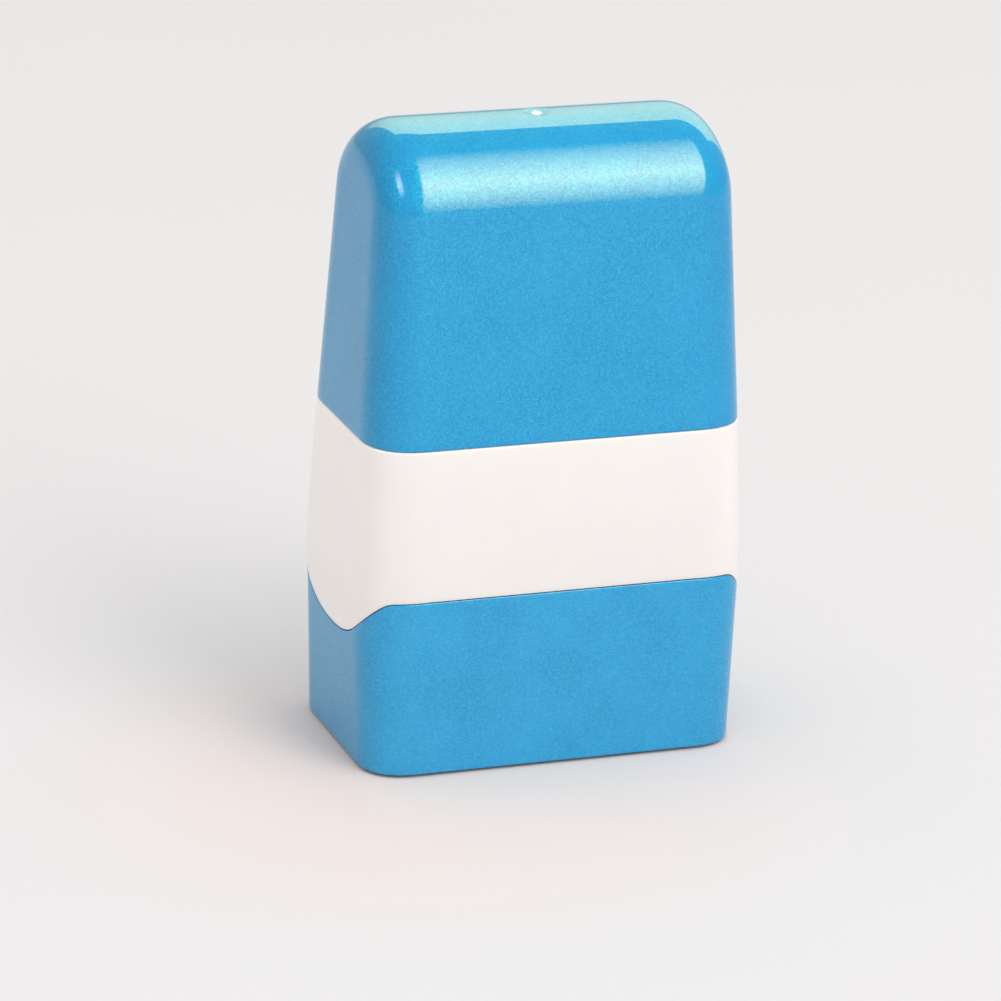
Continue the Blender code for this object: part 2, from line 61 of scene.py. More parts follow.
MM = 0.001
FOOT_HALF_WIDTH, FOOT_HALF_DEPTH, FOOT_CORNER = 22.2 * MM, 13.7 * MM, 5.67 * MM
SHOULDER_HALF_WIDTH, SHOULDER_HALF_DEPTH, BODY_CORNER = 22.94 * MM, 13.88 * MM, 6.46 * MM
SEAM_HALF_WIDTH, SEAM_HALF_DEPTH, TOP_CORNER = 22.25 * MM, 13.3 * MM, 5.5 * MM
CORNER_POWER = 0.833
WIDTH_TAPER, DEPTH_TAPER = 0.05, 0.091
SHOULDER_Z, SEAM_Z, ARCH_FOOT_Z = 20.85 * MM, 38.25 * MM, 64.6 * MM
TONGUE_DROP, TONGUE_HALF, TONGUE_POWER = 6.3 * MM, 13.07 * MM, 2.4
GUIDE_HALF_WIDTH, GUIDE_HALF_DEPTH = 18.95 * MM, 10.0 * MM
NECK_END, CEILING_Z, SPIGOT_TOP = 13.6 * MM, 37.4 * MM, 43.25 * MM
CAP_WALL, BAND_WALL, NECK_INSET = 1.4 * MM, 1.6 * MM, 1.7 * MM
SPIGOT_INSET, SPIGOT_WALL = 1.9 * MM, 1.4 * MM
SEAM_HALF_GAP, EDGE, RIM_EDGE = 0.06 * MM, 0.22 * MM, 0.08 * MM
GUIDE_TOP, TONGUE_BLEND = 22.45 * MM, 0.06
CORNER_STEPS, LONG_STEPS, END_STEPS, CROWDING = 22, 64, 30, 1.7
WALL_ROWS, CEILING_ROWS, RIM_STEPS, FRAME_GAP_SHARE = 40, 12, 3, 0.9
MERGE = 1e-7


def outline_shares(corner_steps, long_run, end_run):
    """Where each point of a rounded outline lies: its share along the straight walls and round a corner.

    A point is (kx * straight half + ux * corner size, ky * straight half + uy * corner size). On a corner
    kx and ky are plus or minus one, and ux and uy are a cosine and sine raised to a power a little under one:
    an arc that leaves the walls softly, bends most in its middle, and takes a larger size than a true arc of
    the same look. On a wall one k runs between its two corners.
    """
    rows = []
    for side_x, side_y, start in ((1, -1, -0.5), (1, 1, 0.0), (-1, 1, 0.5), (-1, -1, 1.0)):
        turn = math.pi * (start + np.linspace(0, 0.5, corner_steps + 1))
        ones = np.ones_like(turn)
        across = side_x * np.abs(np.cos(turn)) ** CORNER_POWER
        along = side_y * np.abs(np.sin(turn)) ** CORNER_POWER
        rows.append(np.stack([side_x * ones, side_y * ones, across, along], axis=1))
        if side_x != side_y:
            ones = np.ones_like(end_run)
            rows.append(np.stack([side_x * ones, side_y * end_run, side_x * ones, 0 * ones], axis=1))
        else:
            ones = np.ones_like(long_run)
            rows.append(np.stack([side_x * long_run, side_y * ones, 0 * ones, side_y * ones], axis=1))
    return np.concatenate(rows)


def run_to(power, steps):
    """Shares from one wall's end to the other, ends left out. A power over one crowds them in the middle."""
    run = np.linspace(1, -1, steps + 1)[1:-1]
    return np.sign(run) * np.abs(run) ** power


SHARES = outline_shares(CORNER_STEPS, run_to(CROWDING, LONG_STEPS), run_to(1.0, END_STEPS))


def half_at(z, foot, shoulder, seam, taper):
    """Half size at a height: a straight line on the cap, a parabola on the band, a straight taper above."""
    height, below = SEAM_Z - SHOULDER_Z, SEAM_Z - z
    bend = (seam + taper * height - shoulder) / height**2
    cap, band = foot + (shoulder - foot) * z / SHOULDER_Z, seam + taper * below - bend * below**2
    return np.where(z <= SHOULDER_Z, cap, np.where(z <= SEAM_Z, band, seam - taper * (z - SEAM_Z)))


def body_skin(inset, z):
    """Points on the body's outline at height z, moved inwards by inset. Both can differ point by point.

    The corner size changes evenly from the foot to the shoulder, and from the seam to the arch's foot.
    """
    inset, z = np.broadcast_arrays(np.asarray(inset, float), np.asarray(z, float))
    kx, ky, ux, uy = SHARES.T
    corner = FOOT_CORNER + (BODY_CORNER - FOOT_CORNER) * np.clip(z / SHOULDER_Z, 0, 1)
    corner += (TOP_CORNER - BODY_CORNER) * np.clip((z - SEAM_Z) / (ARCH_FOOT_Z - SEAM_Z), 0, 1)
    width = half_at(z, FOOT_HALF_WIDTH, SHOULDER_HALF_WIDTH, SEAM_HALF_WIDTH, WIDTH_TAPER)
    depth = half_at(z, FOOT_HALF_DEPTH, SHOULDER_HALF_DEPTH, SEAM_HALF_DEPTH, DEPTH_TAPER)
    x = kx * (width - corner) + ux * (corner - inset)
    y = ky * (depth - corner) + uy * (corner - inset)
    return np.stack([x, y, z + 0 * x], axis=-1)


def rows_of(inset, z):
    """Body outlines one above the other, one for each pair of inset and height."""
    inset, z = np.broadcast_arrays(np.atleast_1d(inset), np.atleast_1d(z))
    return body_skin(inset[:, None], z[:, None])


def plain_rows(half_width, half_depth, corner, heights):
    """Rounded rectangles of one size, one for each height."""
    kx, ky, ux, uy = SHARES.T
    z = np.array(heights)[:, None]
    x = kx * (half_width - corner) + ux * corner + 0 * z
    y = ky * (half_depth - corner) + uy * corner + 0 * z
    return np.stack([x, y, z + 0 * x], axis=-1)


def rim_height():
    """Height of the line where frame and cap meet, point by point: the shoulder less the tongue's drop.

    The drop is greatest in the middle of an end wall and falls off with a power of the way to its edge. A
    small blend rounds the place where the tongue runs into the level edge.
    """
    y = body_skin(0.0, SHOULDER_Z)[:, 1]
    drop = 1 - (np.abs(y) / TONGUE_HALF) ** TONGUE_POWER
    peak = 0.5 * (np.sqrt(TONGUE_BLEND**2 + 1) - 1)
    drop = 0.5 * (drop + np.sqrt(drop**2 + TONGUE_BLEND**2)) - peak
    return SHOULDER_Z - TONGUE_DROP * np.where(SHARES[:, 2] == 0, 0, drop)


def round_over(radius, steps=5):
    """A quarter circle as (sideways, along) steps, from the flat to the wall."""
    turn = np.linspace(0, math.pi / 2, steps + 1)
    return radius * (1 - np.sin(turn)), radius * (1 - np.cos(turn))


def ring_mesh(name, *stacks, closed=False, angle=35):
    """Skins stacks of rings: point j of ring i is joined to point j of the next ring, and to its neighbours.

    A closed stack's last ring joins its first. Any other stack gets a face over each end.
    """
    points, faces, start = [], [], 0
    for rings in stacks:
        count, size, _ = rings.shape
        index = start + np.arange(count * size).reshape(count, size)
        low, high = (index, np.roll(index, -1, axis=0)) if closed else (index[:-1], index[1:])
        quads = np.stack([low, np.roll(low, -1, axis=1), np.roll(high, -1, axis=1), high], axis=-1)
        faces += quads.reshape(-1, 4).tolist()
        if not closed:
            faces += [index[0].tolist(), index[-1].tolist()]
        points.append(rings.reshape(-1, 3))
        start += count * size
    mesh = bpy.data.meshes.new(name)
    mesh.from_pydata(np.concatenate(points).tolist(), [], faces)
    bm = bmesh.new()
    bm.from_mesh(mesh)
    bmesh.ops.remove_doubles(bm, verts=bm.verts, dist=MERGE)
    bmesh.ops.dissolve_degenerate(bm, edges=bm.edges, dist=MERGE)
    bmesh.ops.recalc_face_normals(bm, faces=bm.faces)
    bm.to_mesh(mesh)
    bm.free()
    mesh.shade_smooth()
    mesh.set_sharp_from_angle(angle=math.radians(angle))
    obj = bpy.data.objects.new(name, mesh)
    bpy.context.scene.collection.objects.link(obj)
    return obj


def fit_out(obj, look, body, slot, *nodes):
    """Gives a piece its material, the body it rides on and the CAD nodes it stands for. The slot argument is
    not used.
    """
    obj.data.materials.append(look)
    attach(obj, body)
    if nodes:
        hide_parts(*nodes)
    return obj


def node(tree, kind, inputs=None, **settings):
    """Adds a shader node. An input given as a socket is linked, and one given as a value is set."""
    made = tree.nodes.new(kind)
    for key, value in settings.items():
        setattr(made, key, value)
    for key, value in (inputs or {}).items():
        if isinstance(value, bpy.types.NodeSocket):
            tree.links.new(value, made.inputs[key])
        else:
            made.inputs[key].default_value = value
    return made


def new_material(name, **uniform):
    """A material with its Principled shader, on which the values that don't vary are set directly."""
    made = bpy.data.materials.new(name)
    made.use_nodes = True
    shader = made.node_tree.nodes["Principled BSDF"]
    for key, value in uniform.items():
        shader.inputs[key.replace("_", " ")].default_value = value
    return made, made.node_tree, shader


def moulded_skin_group():
    """Node group for moulded plastic: fine grain, a slow unevenness of its gloss, sparse hairline scuffs."""
    tree = bpy.data.node_groups.new("moulded_skin", "ShaderNodeTree")
    for name, kind in (("Point", "NodeSocketVector"), ("Grain Size", "NodeSocketFloat")):
        tree.interface.new_socket(name, in_out="INPUT", socket_type=kind)
    for name in ("Grain", "Haze", "Scuff"):
        tree.interface.new_socket(name, in_out="OUTPUT", socket_type="NodeSocketFloat")
    source, result = tree.nodes.new("NodeGroupInput"), tree.nodes.new("NodeGroupOutput")
    point = source.outputs["Point"]
    fine = node(tree, "ShaderNodeMath", {0: 1.0, 1: source.outputs["Grain Size"]}, operation="DIVIDE")
    grain = node(tree, "ShaderNodeTexNoise", {"Vector": point, "Scale": fine.outputs[0], "Detail": 2.0})
    haze = node(tree, "ShaderNodeTexNoise", {"Vector": point, "Scale": 140.0, "Detail": 3.0})
    stretched = node(
        tree,
        "ShaderNodeMapping",
        {"Vector": point, "Rotation": (0.5, 0.3, 0.9), "Scale": (90.0, 1400.0, 900.0)},
    )
    hair = node(tree, "ShaderNodeTexNoise", {"Vector": stretched.outputs[0], "Scale": 1.0, "Detail": 1.0})
    scuff = node(tree, "ShaderNodeMapRange", {"Value": hair.outputs[0], "From Min": 0.69, "From Max": 0.76})
    tree.links.new(grain.outputs[0], result.inputs["Grain"])
    tree.links.new(haze.outputs[0], result.inputs["Haze"])
    tree.links.new(scuff.outputs[0], result.inputs["Scuff"])
    return tree


moulded_skin = moulded_skin_group()


def skin_nodes(tree, grain_size):
    """Places the moulded skin group on object coordinates."""
    point = node(tree, "ShaderNodeTexCoord").outputs["Object"]
    group = tree.nodes.new("ShaderNodeGroup")
    group.node_tree = moulded_skin
    tree.links.new(point, group.inputs["Point"])
    group.inputs["Grain Size"].default_value = grain_size
    return point, group


def mix_colour(tree, share, first, second):
    """The first colour where share is 0, the second where it is 1. Each of the three can be a socket."""
    mixed = tree.nodes.new("ShaderNodeMix")
    mixed.data_type = "RGBA"
    for socket, value in zip((mixed.inputs[0], mixed.inputs[6], mixed.inputs[7]), (share, first, second)):
        if isinstance(value, bpy.types.NodeSocket):
            tree.links.new(value, socket)
        else:
            socket.default_value = value
    return mixed.outputs[2]


def plastic(name, colour, tint, rough, grain_size, bump, **uniform):
    """Moulded plastic: two near colours drift across it, haze and scuffs vary its gloss, grain its height."""
    made, tree, shader = new_material(name, **uniform)
    _, group = skin_nodes(tree, grain_size)
    haze = group.outputs["Haze"]
    drift = node(tree, "ShaderNodeMapRange", {"Value": haze, "From Min": 0.35, "From Max": 0.65})
    mixed = mix_colour(tree, drift.outputs[0], (*colour, 1), (*tint, 1))
    tree.links.new(mixed, shader.inputs["Base Color"])
    gloss = node(
        tree,
        "ShaderNodeMapRange",
        {"Value": haze, "From Min": 0.3, "From Max": 0.7, "To Min": rough[0], "To Max": rough[1]},
    )
    worn = node(tree, "ShaderNodeMath", {0: group.outputs["Scuff"], 1: 0.18}, operation="MULTIPLY")
    total = node(tree, "ShaderNodeMath", {0: gloss.outputs[0], 1: worn.outputs[0]}, operation="ADD")
    tree.links.new(total.outputs[0], shader.inputs["Roughness"])
    relief = node(tree, "ShaderNodeBump", {"Height": group.outputs["Grain"], "Distance": bump})
    tree.links.new(relief.outputs[0], shader.inputs["Normal"])
    return made


ivory = plastic(
    "ivory_white_plastic",
    (0.612, 0.595, 0.585),
    (0.627, 0.606, 0.59),
    (0.28, 0.36),
    0.35 * MM,
    0.004 * MM,
    Coat_Weight=0.25,
    Coat_Roughness=0.12,
    Subsurface_Weight=0.12,
    Subsurface_Radius=(0.0016, 0.0010, 0.0007),
    Subsurface_Scale=1.0,
)

rim = rim_height()
edge_in, edge_up = round_over(EDGE)
rim_in, rim_up = round_over(RIM_EDGE, RIM_STEPS)
band_low, band_high = rim + SEAM_HALF_GAP * FRAME_GAP_SHARE, SEAM_Z + SEAM_HALF_GAP
wall_low, wall_high = band_low + RIM_EDGE, band_high - EDGE
share = np.linspace(0, 1, WALL_ROWS)[1:-1, None]
frame_rings = np.concatenate(
    [
        rows_of(SPIGOT_INSET + SPIGOT_WALL, SEAM_Z),
        rows_of(SPIGOT_INSET + SPIGOT_WALL, SPIGOT_TOP - EDGE),
        rows_of(SPIGOT_INSET + SPIGOT_WALL - edge_in[::-1], SPIGOT_TOP - edge_up[::-1]),
        rows_of(SPIGOT_INSET + edge_in, SPIGOT_TOP - edge_up),
        rows_of(SPIGOT_INSET, band_high),
        rows_of(edge_in, band_high - edge_up),
        body_skin(0.0, wall_high + (wall_low - wall_high) * share),
        body_skin(rim_in[::-1, None], band_low + rim_up[::-1, None]),
        body_skin(NECK_INSET, band_low)[None],
        body_skin(NECK_INSET, band_low + (NECK_END + EDGE - band_low) * share),
        rows_of(NECK_INSET + edge_in[::-1], NECK_END + edge_up[::-1]),
        plain_rows(GUIDE_HALF_WIDTH, GUIDE_HALF_DEPTH, BODY_CORNER - NECK_INSET, [NECK_END, GUIDE_TOP]),
        rows_of(BAND_WALL, np.linspace(GUIDE_TOP, CEILING_Z, CEILING_ROWS)),
    ]
)
fit_out(ring_mesh("grip_frame_shaped", frame_rings), ivory, "handle", "ivory_white", "grip_frame")

# The upper shell
# One moulding in pearl blue: fine mica flakes in a tinted plastic under a glossy skin. The mould's gate left
# a low stub in a shallow dimple at the crest, and the stub's glint is painted on it as a pale colour. It
# snaps onto the frame's spigot and isn't meant to come off.

BODY_HEIGHT, SHELL_WALL, DOME_STEP = 72.7 * MM, 1.6 * MM, 0.3 * MM
ARCH_RISE, ARCH_STEPS, CREST_CROWDING, SHELL_ROWS = 0.8, 44, 1.25, 30
DIMPLE_RADIUS, DIMPLE_DEPTH, DISH_POWER = 1.6 * MM, 0.4 * MM, 0.6
STUB_RADIUS, STUB_EDGE, STUB_SHARE, STUB_FADE = 0.52 * MM, 0.045 * MM, 0.93, 1.25
FLAKE_SIZE, FLAKE_TILT = 0.13 * MM, 0.22
PAINTED_GLINT_STUB = (0.86, 0.90, 0.90, 1)


def pearl_group():
    """Node group for pearl plastic: flakes as random cells, each with its own tint share and tilt."""
    tree = bpy.data.node_groups.new("pearl_flakes", "ShaderNodeTree")
    tree.interface.new_socket("Point", in_out="INPUT", socket_type="NodeSocketVector")
    tree.interface.new_socket("Flake Size", in_out="INPUT", socket_type="NodeSocketFloat")
    tree.interface.new_socket("Tilt", in_out="INPUT", socket_type="NodeSocketFloat")
    tree.interface.new_socket("Glint", in_out="OUTPUT", socket_type="NodeSocketFloat")
    tree.interface.new_socket("Normal", in_out="OUTPUT", socket_type="NodeSocketVector")
    source, result = tree.nodes.new("NodeGroupInput"), tree.nodes.new("NodeGroupOutput")
    fine = node(tree, "ShaderNodeMath", {0: 1.0, 1: source.outputs["Flake Size"]}, operation="DIVIDE")
    cells = node(tree, "ShaderNodeTexVoronoi", {"Vector": source.outputs["Point"], "Scale": fine.outputs[0]})
    tilt = node(tree, "ShaderNodeVectorMath", {0: cells.outputs["Color"]}, operation="SUBTRACT")
    tilt.inputs[1].default_value = (0.5, 0.5, 0.5)
    lean = node(tree, "ShaderNodeVectorMath", {0: tilt.outputs[0]}, operation="SCALE")
    tree.links.new(source.outputs["Tilt"], lean.inputs["Scale"])
    facing = node(tree, "ShaderNodeNewGeometry").outputs["Normal"]
    turned = node(tree, "ShaderNodeVectorMath", {0: facing, 1: lean.outputs[0]}, operation="ADD")
    normal = node(tree, "ShaderNodeVectorMath", {0: turned.outputs[0]}, operation="NORMALIZE")
    parts = node(tree, "ShaderNodeSeparateColor", {0: cells.outputs["Color"]})
    tree.links.new(parts.outputs[0], result.inputs["Glint"])
    tree.links.new(normal.outputs[0], result.inputs["Normal"])
    return tree


pearl_flakes = pearl_group()


def pearl(name, base, flake, deep, gate=False):
    """Pearl plastic: flake colour over a tinted base, mixed cell by cell, with slow drift below it.

    With a gate, the stub at the crest is painted pale as a painted glint and has no flakes: it is what lies
    near the Z axis and high up.
    """
    made, tree, shader = new_material(
        name,
        Coat_Weight=1.0,
        Coat_Roughness=0.03,
        Coat_IOR=1.5,
        Specular_IOR_Level=0.0,
        Specular_Tint=(0.45, 0.80, 0.90, 1.0),
    )
    point, group = skin_nodes(tree, 0.5 * MM)
    flakes = tree.nodes.new("ShaderNodeGroup")
    flakes.node_tree = pearl_flakes
    tree.links.new(point, flakes.inputs["Point"])
    flakes.inputs["Flake Size"].default_value = FLAKE_SIZE
    flakes.inputs["Tilt"].default_value = FLAKE_TILT
    haze, spark = group.outputs["Haze"], flakes.outputs["Glint"]
    drift = node(tree, "ShaderNodeMapRange", {"Value": haze, "From Min": 0.3, "From Max": 0.7, "To Max": 0.5})
    ground = mix_colour(tree, drift.outputs[0], (*base, 1), (*deep, 1))
    glint = node(tree, "ShaderNodeMapRange", {"Value": spark, "From Min": 0.3, "To Max": 0.8})
    colour = mix_colour(tree, glint.outputs[0], ground, (*flake, 1))
    metal = node(tree, "ShaderNodeMapRange", {"Value": spark, "To Max": 0.26})
    rough = node(tree, "ShaderNodeMapRange", {"Value": haze, "To Min": 0.28, "To Max": 0.38})
    metallic, roughness = metal.outputs[0], rough.outputs[0]
    if gate:
        # The stub's mask: a painted glint, a pale colour without flakes, replaces the pearl there.
        flat = node(tree, "ShaderNodeVectorMath", {0: point, 1: (1, 1, 0)}, operation="MULTIPLY")
        away = node(tree, "ShaderNodeVectorMath", {0: flat.outputs[0]}, operation="LENGTH")
        height = node(tree, "ShaderNodeSeparateXYZ", {0: point}).outputs[2]
        near = node(tree, "ShaderNodeMapRange", {"Value": away.outputs["Value"]})
        near.inputs["From Min"].default_value = STUB_RADIUS * STUB_FADE
        near.inputs["From Max"].default_value = STUB_RADIUS
        above = node(tree, "ShaderNodeMath", {0: height}, operation="GREATER_THAN")
        above.inputs[1].default_value = BODY_HEIGHT - SHELL_WALL / 2
        painted_glint = node(tree, "ShaderNodeMath", {0: near.outputs[0], 1: above.outputs[0]}, operation="MULTIPLY")
        colour = mix_colour(tree, painted_glint.outputs[0], colour, PAINTED_GLINT_STUB)
        bare = node(tree, "ShaderNodeMath", {0: 1.0, 1: painted_glint.outputs[0]}, operation="SUBTRACT")
        dulled = node(tree, "ShaderNodeMath", {0: metallic, 1: bare.outputs[0]}, operation="MULTIPLY")
        metallic = dulled.outputs[0]
    tree.links.new(colour, shader.inputs["Base Color"])
    tree.links.new(metallic, shader.inputs["Metallic"])
    tree.links.new(roughness, shader.inputs["Roughness"])
    tree.links.new(flakes.outputs["Normal"], shader.inputs["Normal"])
    return made


def arch_rows(inset):
    """The arched top. Across the depth it is half an ellipse that the leaning walls touch at its foot.

    A fillet of the top's corner size runs round the ellipse at each end, so the point of outline share
    (kx, ky, ux, uy) lies on the ellipse less the fillet along its normal, plus the fillet times uy. The
    rows lie closer together near the crest.
    """
    lean = math.atan(DEPTH_TAPER * ARCH_RISE)
    crest = SEAM_HALF_DEPTH - DEPTH_TAPER * (BODY_HEIGHT - SEAM_Z)
    reach = crest / (math.cos(lean) - DEPTH_TAPER * ARCH_RISE * (1 - math.sin(lean)))
    rise = reach * ARCH_RISE
    way = 1 - (1 - np.linspace(0, 1, ARCH_STEPS + 1)) ** CREST_CROWDING
    turn = lean + (math.pi / 2 - lean) * way[:, None]
    normal_y, normal_z = np.cos(turn) * rise, np.sin(turn) * reach
    length = np.hypot(normal_y, normal_z)
    normal_y, normal_z = np.where(turn < math.pi / 2, normal_y / length, 0), normal_z / length
    core_y = np.where(turn < math.pi / 2, reach * np.cos(turn), 0) - TOP_CORNER * normal_y
    core_z = BODY_HEIGHT - rise + rise * np.sin(turn) - TOP_CORNER * normal_z
    kx, ky, ux, uy = SHARES.T
    fillet = TOP_CORNER - inset
    y, z = ky * core_y + uy * fillet * normal_y, core_z + np.abs(uy) * fillet * normal_z
    width = half_at(z, FOOT_HALF_WIDTH, SHOULDER_HALF_WIDTH, SEAM_HALF_WIDTH, WIDTH_TAPER)
    return np.stack([kx * (width - TOP_CORNER) + ux * fillet, y, z], axis=-1)


def gate_dimple(rings):
    """Lowers the crest by a raised cosine of the way from it, and leaves a low round stub in its middle."""
    away = np.hypot(rings[..., 0], rings[..., 1])
    dish = 0.5 + 0.5 * np.cos(math.pi * np.clip(away / DIMPLE_RADIUS, 0, 1))
    stub = 1 / (1 + np.exp((away - STUB_RADIUS) / STUB_EDGE))
    lowered = rings.copy()
    lowered[..., 2] += DIMPLE_DEPTH * (STUB_SHARE * stub - dish**DISH_POWER)
    return lowered


pearl_shell = pearl(
    "pearl_blue_shell", (0.010, 0.206, 0.438), (0.010, 0.315, 0.515), (0.001, 0.155, 0.36), gate=True
)
foot = SEAM_Z + SEAM_HALF_GAP
dome = arch_rows(0.0)
wall_z = np.linspace(dome[0, :, 2].min() - DOME_STEP, foot + EDGE, SHELL_ROWS)
shell_rings = np.concatenate(
    [
        gate_dimple(dome)[::-1],
        rows_of(0.0, wall_z),
        rows_of(edge_in[::-1], foot + edge_up[::-1]),
        rows_of(SHELL_WALL, [foot, wall_z[0]]),
        arch_rows(SHELL_WALL),
    ]
)
fit_out(ring_mesh("upper_shell_shaped", shell_rings), pearl_shell, "handle", "pearl_blue", "upper_shell")

# The cartridge housing and its lid
# Black satin mouldings. The housing is open below and above: cheeks that carry the axles, thin long walls,
# and two wings down each cheek that run in the frame's guide. The lid presses into its top, and ink is
# refilled through its two holes.

MOULD_ROUND = 0.12 * MM

black = plastic(
    "black_satin_plastic",
    (0.013, 0.013, 0.015),
    (0.020, 0.020, 0.022),
    (0.38, 0.52),
    0.16 * MM,
    0.010 * MM,
    Specular_IOR_Level=0.5,
)


def softened(name, node_name, width):
    """A copy of a CAD solid merged into one skin, its flat faces joined, and every sharp edge rounded off."""
    bm = bmesh.new()
    bm.from_mesh(frame["nodes"][node_name].data)
    bmesh.ops.remove_doubles(bm, verts=bm.verts, dist=MERGE)
    bmesh.ops.dissolve_limit(bm, angle_limit=math.radians(0.5), verts=bm.verts, edges=bm.edges)
    mesh = bpy.data.meshes.new(name)
    bm.to_mesh(mesh)
    bm.free()
    mesh.shade_smooth()
    obj = bpy.data.objects.new(name, mesh)
    bpy.context.scene.collection.objects.link(obj)
    edges = obj.modifiers.new("rounded_edges", "BEVEL")
    edges.width, edges.segments, edges.limit_method = width, 3, "ANGLE"
    edges.angle_limit = math.radians(40)
    flats = obj.modifiers.new("flat_faces", "WEIGHTED_NORMAL")
    flats.weight = 100
    return obj


housing = softened("cartridge_housing_shaped", "cartridge_housing", MOULD_ROUND)
fit_out(housing, black, "cartridge", "black_plastic", "cartridge_housing")
lid = softened("cartridge_lid_shaped", "cartridge_lid", MOULD_ROUND)
fit_out(lid, black, "cartridge", "black_plastic", "cartridge_lid")

# The axles and their clips
# Bright steel pins, cut and chamfered on a lathe. A spring steel push-on clip grips each end: a dished ring
# with six teeth that bite the pin, and slots between them.

AXLE_REACH, AXLE_CHAMFER = 18.3 * MM, 0.25 * MM
DRUM_Z, DRUM_AXLE = 16.3 * MM, 1.36 * MM
INK_Z, INK_AXLE = 29.8 * MM, 1.144 * MM
CLIP_NEAR, CLIP_THICK, CLIP_SHEET, CLIP_REACH = 17.5 * MM, 0.5 * MM, 0.24 * MM, 1.3 * MM
CLIP_TEETH, CLIP_BITE, SLOT_DEPTH, CLIP_DISH_POWER = 6, 0.02 * MM, 0.62 * MM, 0.8
TOOTH_STEPS, TOOTH_STEEPNESS, TOOTH_WIDENING = 24, 6, 0.35


def bright_steel():
    """Turned steel: lathe marks as noise drawn out round the pin, and blotches of haze, a little brown."""
    made, tree, shader = new_material("bright_steel", Metallic=1.0)
    point = node(tree, "ShaderNodeTexCoord").outputs["Object"]
    marks = node(tree, "ShaderNodeMapping", {"Vector": point, "Scale": (9000.0, 260.0, 260.0)})
    lathe = node(tree, "ShaderNodeTexNoise", {"Vector": marks.outputs[0], "Scale": 1.0, "Detail": 2.0})
    haze = node(tree, "ShaderNodeTexNoise", {"Vector": point, "Scale": 420.0, "Detail": 4.0})
    stain = node(tree, "ShaderNodeMapRange", {"Value": haze.outputs[0], "From Min": 0.45, "From Max": 0.75})
    colour = mix_colour(tree, stain.outputs[0], (0.66, 0.66, 0.67, 1), (0.47, 0.44, 0.41, 1))
    tree.links.new(colour, shader.inputs["Base Color"])
    rough = node(tree, "ShaderNodeMapRange", {"Value": lathe.outputs[0], "To Min": 0.16, "To Max": 0.42})
    tree.links.new(rough.outputs[0], shader.inputs["Roughness"])
    relief = node(tree, "ShaderNodeBump", {"Height": lathe.outputs[0], "Distance": 0.003 * MM})
    tree.links.new(relief.outputs[0], shader.inputs["Normal"])
    return made


def soft_profile(points, radius, steps=3):
    """A closed outline of (x, r) points, each corner rounded by a parabola that starts radius before it."""
    corner = np.array(points, float)
    before, after = np.roll(corner, 1, axis=0) - corner, np.roll(corner, -1, axis=0) - corner
    start = corner + before / np.linalg.norm(before, axis=1, keepdims=True) * radius
    end = corner + after / np.linalg.norm(after, axis=1, keepdims=True) * radius
    t = np.linspace(0, 1, steps + 1)[None, :, None]
    curve = (1 - t) ** 2 * start[:, None] + 2 * t * (1 - t) * corner[:, None] + t**2 * end[:, None]
    return curve.reshape(-1, 2)


def turned_rings(profile, z, steps=96, relief=None):
    """A circle about an axis along X at height z for each (x, r) point. relief is added to its radius."""
    profile = np.array(profile, float)
    turn = np.linspace(0, 2 * math.pi, steps, endpoint=False)
    radius = profile[:, 1:2] + (0 * turn if relief is None else relief)
    x = profile[:, 0:1] + 0 * radius
    return np.stack([x, radius * np.sin(turn), z + radius * np.cos(turn)], axis=-1)


def clip_rings(side, z, axle):
    """Push-on clip: its inner edge is a rounded square wave of the angle, its middle dished off the cheek.

    Its section runs out along the far face and back along the near one, as shares of width and thickness.
    """
    turn = np.linspace(0, 2 * math.pi, CLIP_TEETH * TOOTH_STEPS, endpoint=False)
    wave = 0.5 + 0.5 * np.tanh(TOOTH_STEEPNESS * (np.cos(CLIP_TEETH * turn) - TOOTH_WIDENING))
    outer = axle + CLIP_REACH
    inner = axle + CLIP_BITE + SLOT_DEPTH * wave
    out_shares = np.array([0.0, 0.02, 0.35, 0.6, 0.85, 0.97, 1.0])
    far_shares = np.array([0.8, 1.0, 1.0, 1.0, 1.0, 1.0, 0.8])
    reach = np.concatenate([out_shares, out_shares[::-1]])[:, None]
    face = np.concatenate([far_shares, 1 - far_shares[::-1]])[:, None]
    radius = inner + (outer - inner) * reach
    hollow = (1 - np.clip((radius - axle) / CLIP_REACH, 0, 1)) ** CLIP_DISH_POWER
    dish = (CLIP_THICK - CLIP_SHEET) * hollow
    x = side * (CLIP_NEAR + dish + CLIP_SHEET * face)
    return np.stack([x, radius * np.sin(turn), z + radius * np.cos(turn)], axis=-1)


steel = bright_steel()
for name, z, axle in (("drum", DRUM_Z, DRUM_AXLE), ("ink", INK_Z, INK_AXLE)):
    chamfered = [
        (-AXLE_REACH, axle - AXLE_CHAMFER),
        (-AXLE_REACH + AXLE_CHAMFER, axle),
        (AXLE_REACH - AXLE_CHAMFER, axle),
        (AXLE_REACH, axle - AXLE_CHAMFER),
    ]
    pin = ring_mesh(f"{name}_axle_turned", turned_rings(chamfered, z))
    fit_out(pin, steel, "cartridge", "steel", f"{name}_axle")
    for side, word in ((-1, "left"), (1, "right")):
        clip = ring_mesh(f"{name}_clip_{word}_stamped", clip_rings(side, z, axle), closed=True, angle=50)
        fit_out(clip, steel, "cartridge", "steel", f"{name}_clip_{word}")

# The drum core and its bushes
# A grey moulded tube that carries the rubber. A flanged white bush is pressed into each of its ends, and the
# two bushes run on the steel pin.

DRUM_HALF, CORE_RADIUS, CORE_BORE = 14.5 * MM, 6.2 * MM, 3.844 * MM
BUSH_BORE, BUSH_OUTSIDE, BUSH_FLANGE = 1.66 * MM, 3.544 * MM, 4.744 * MM
BUSH_START, BUSH_FACE, BUSH_END = 10.5 * MM, 14.8 * MM, 15.3 * MM
TURNED_ROUND = 0.08 * MM

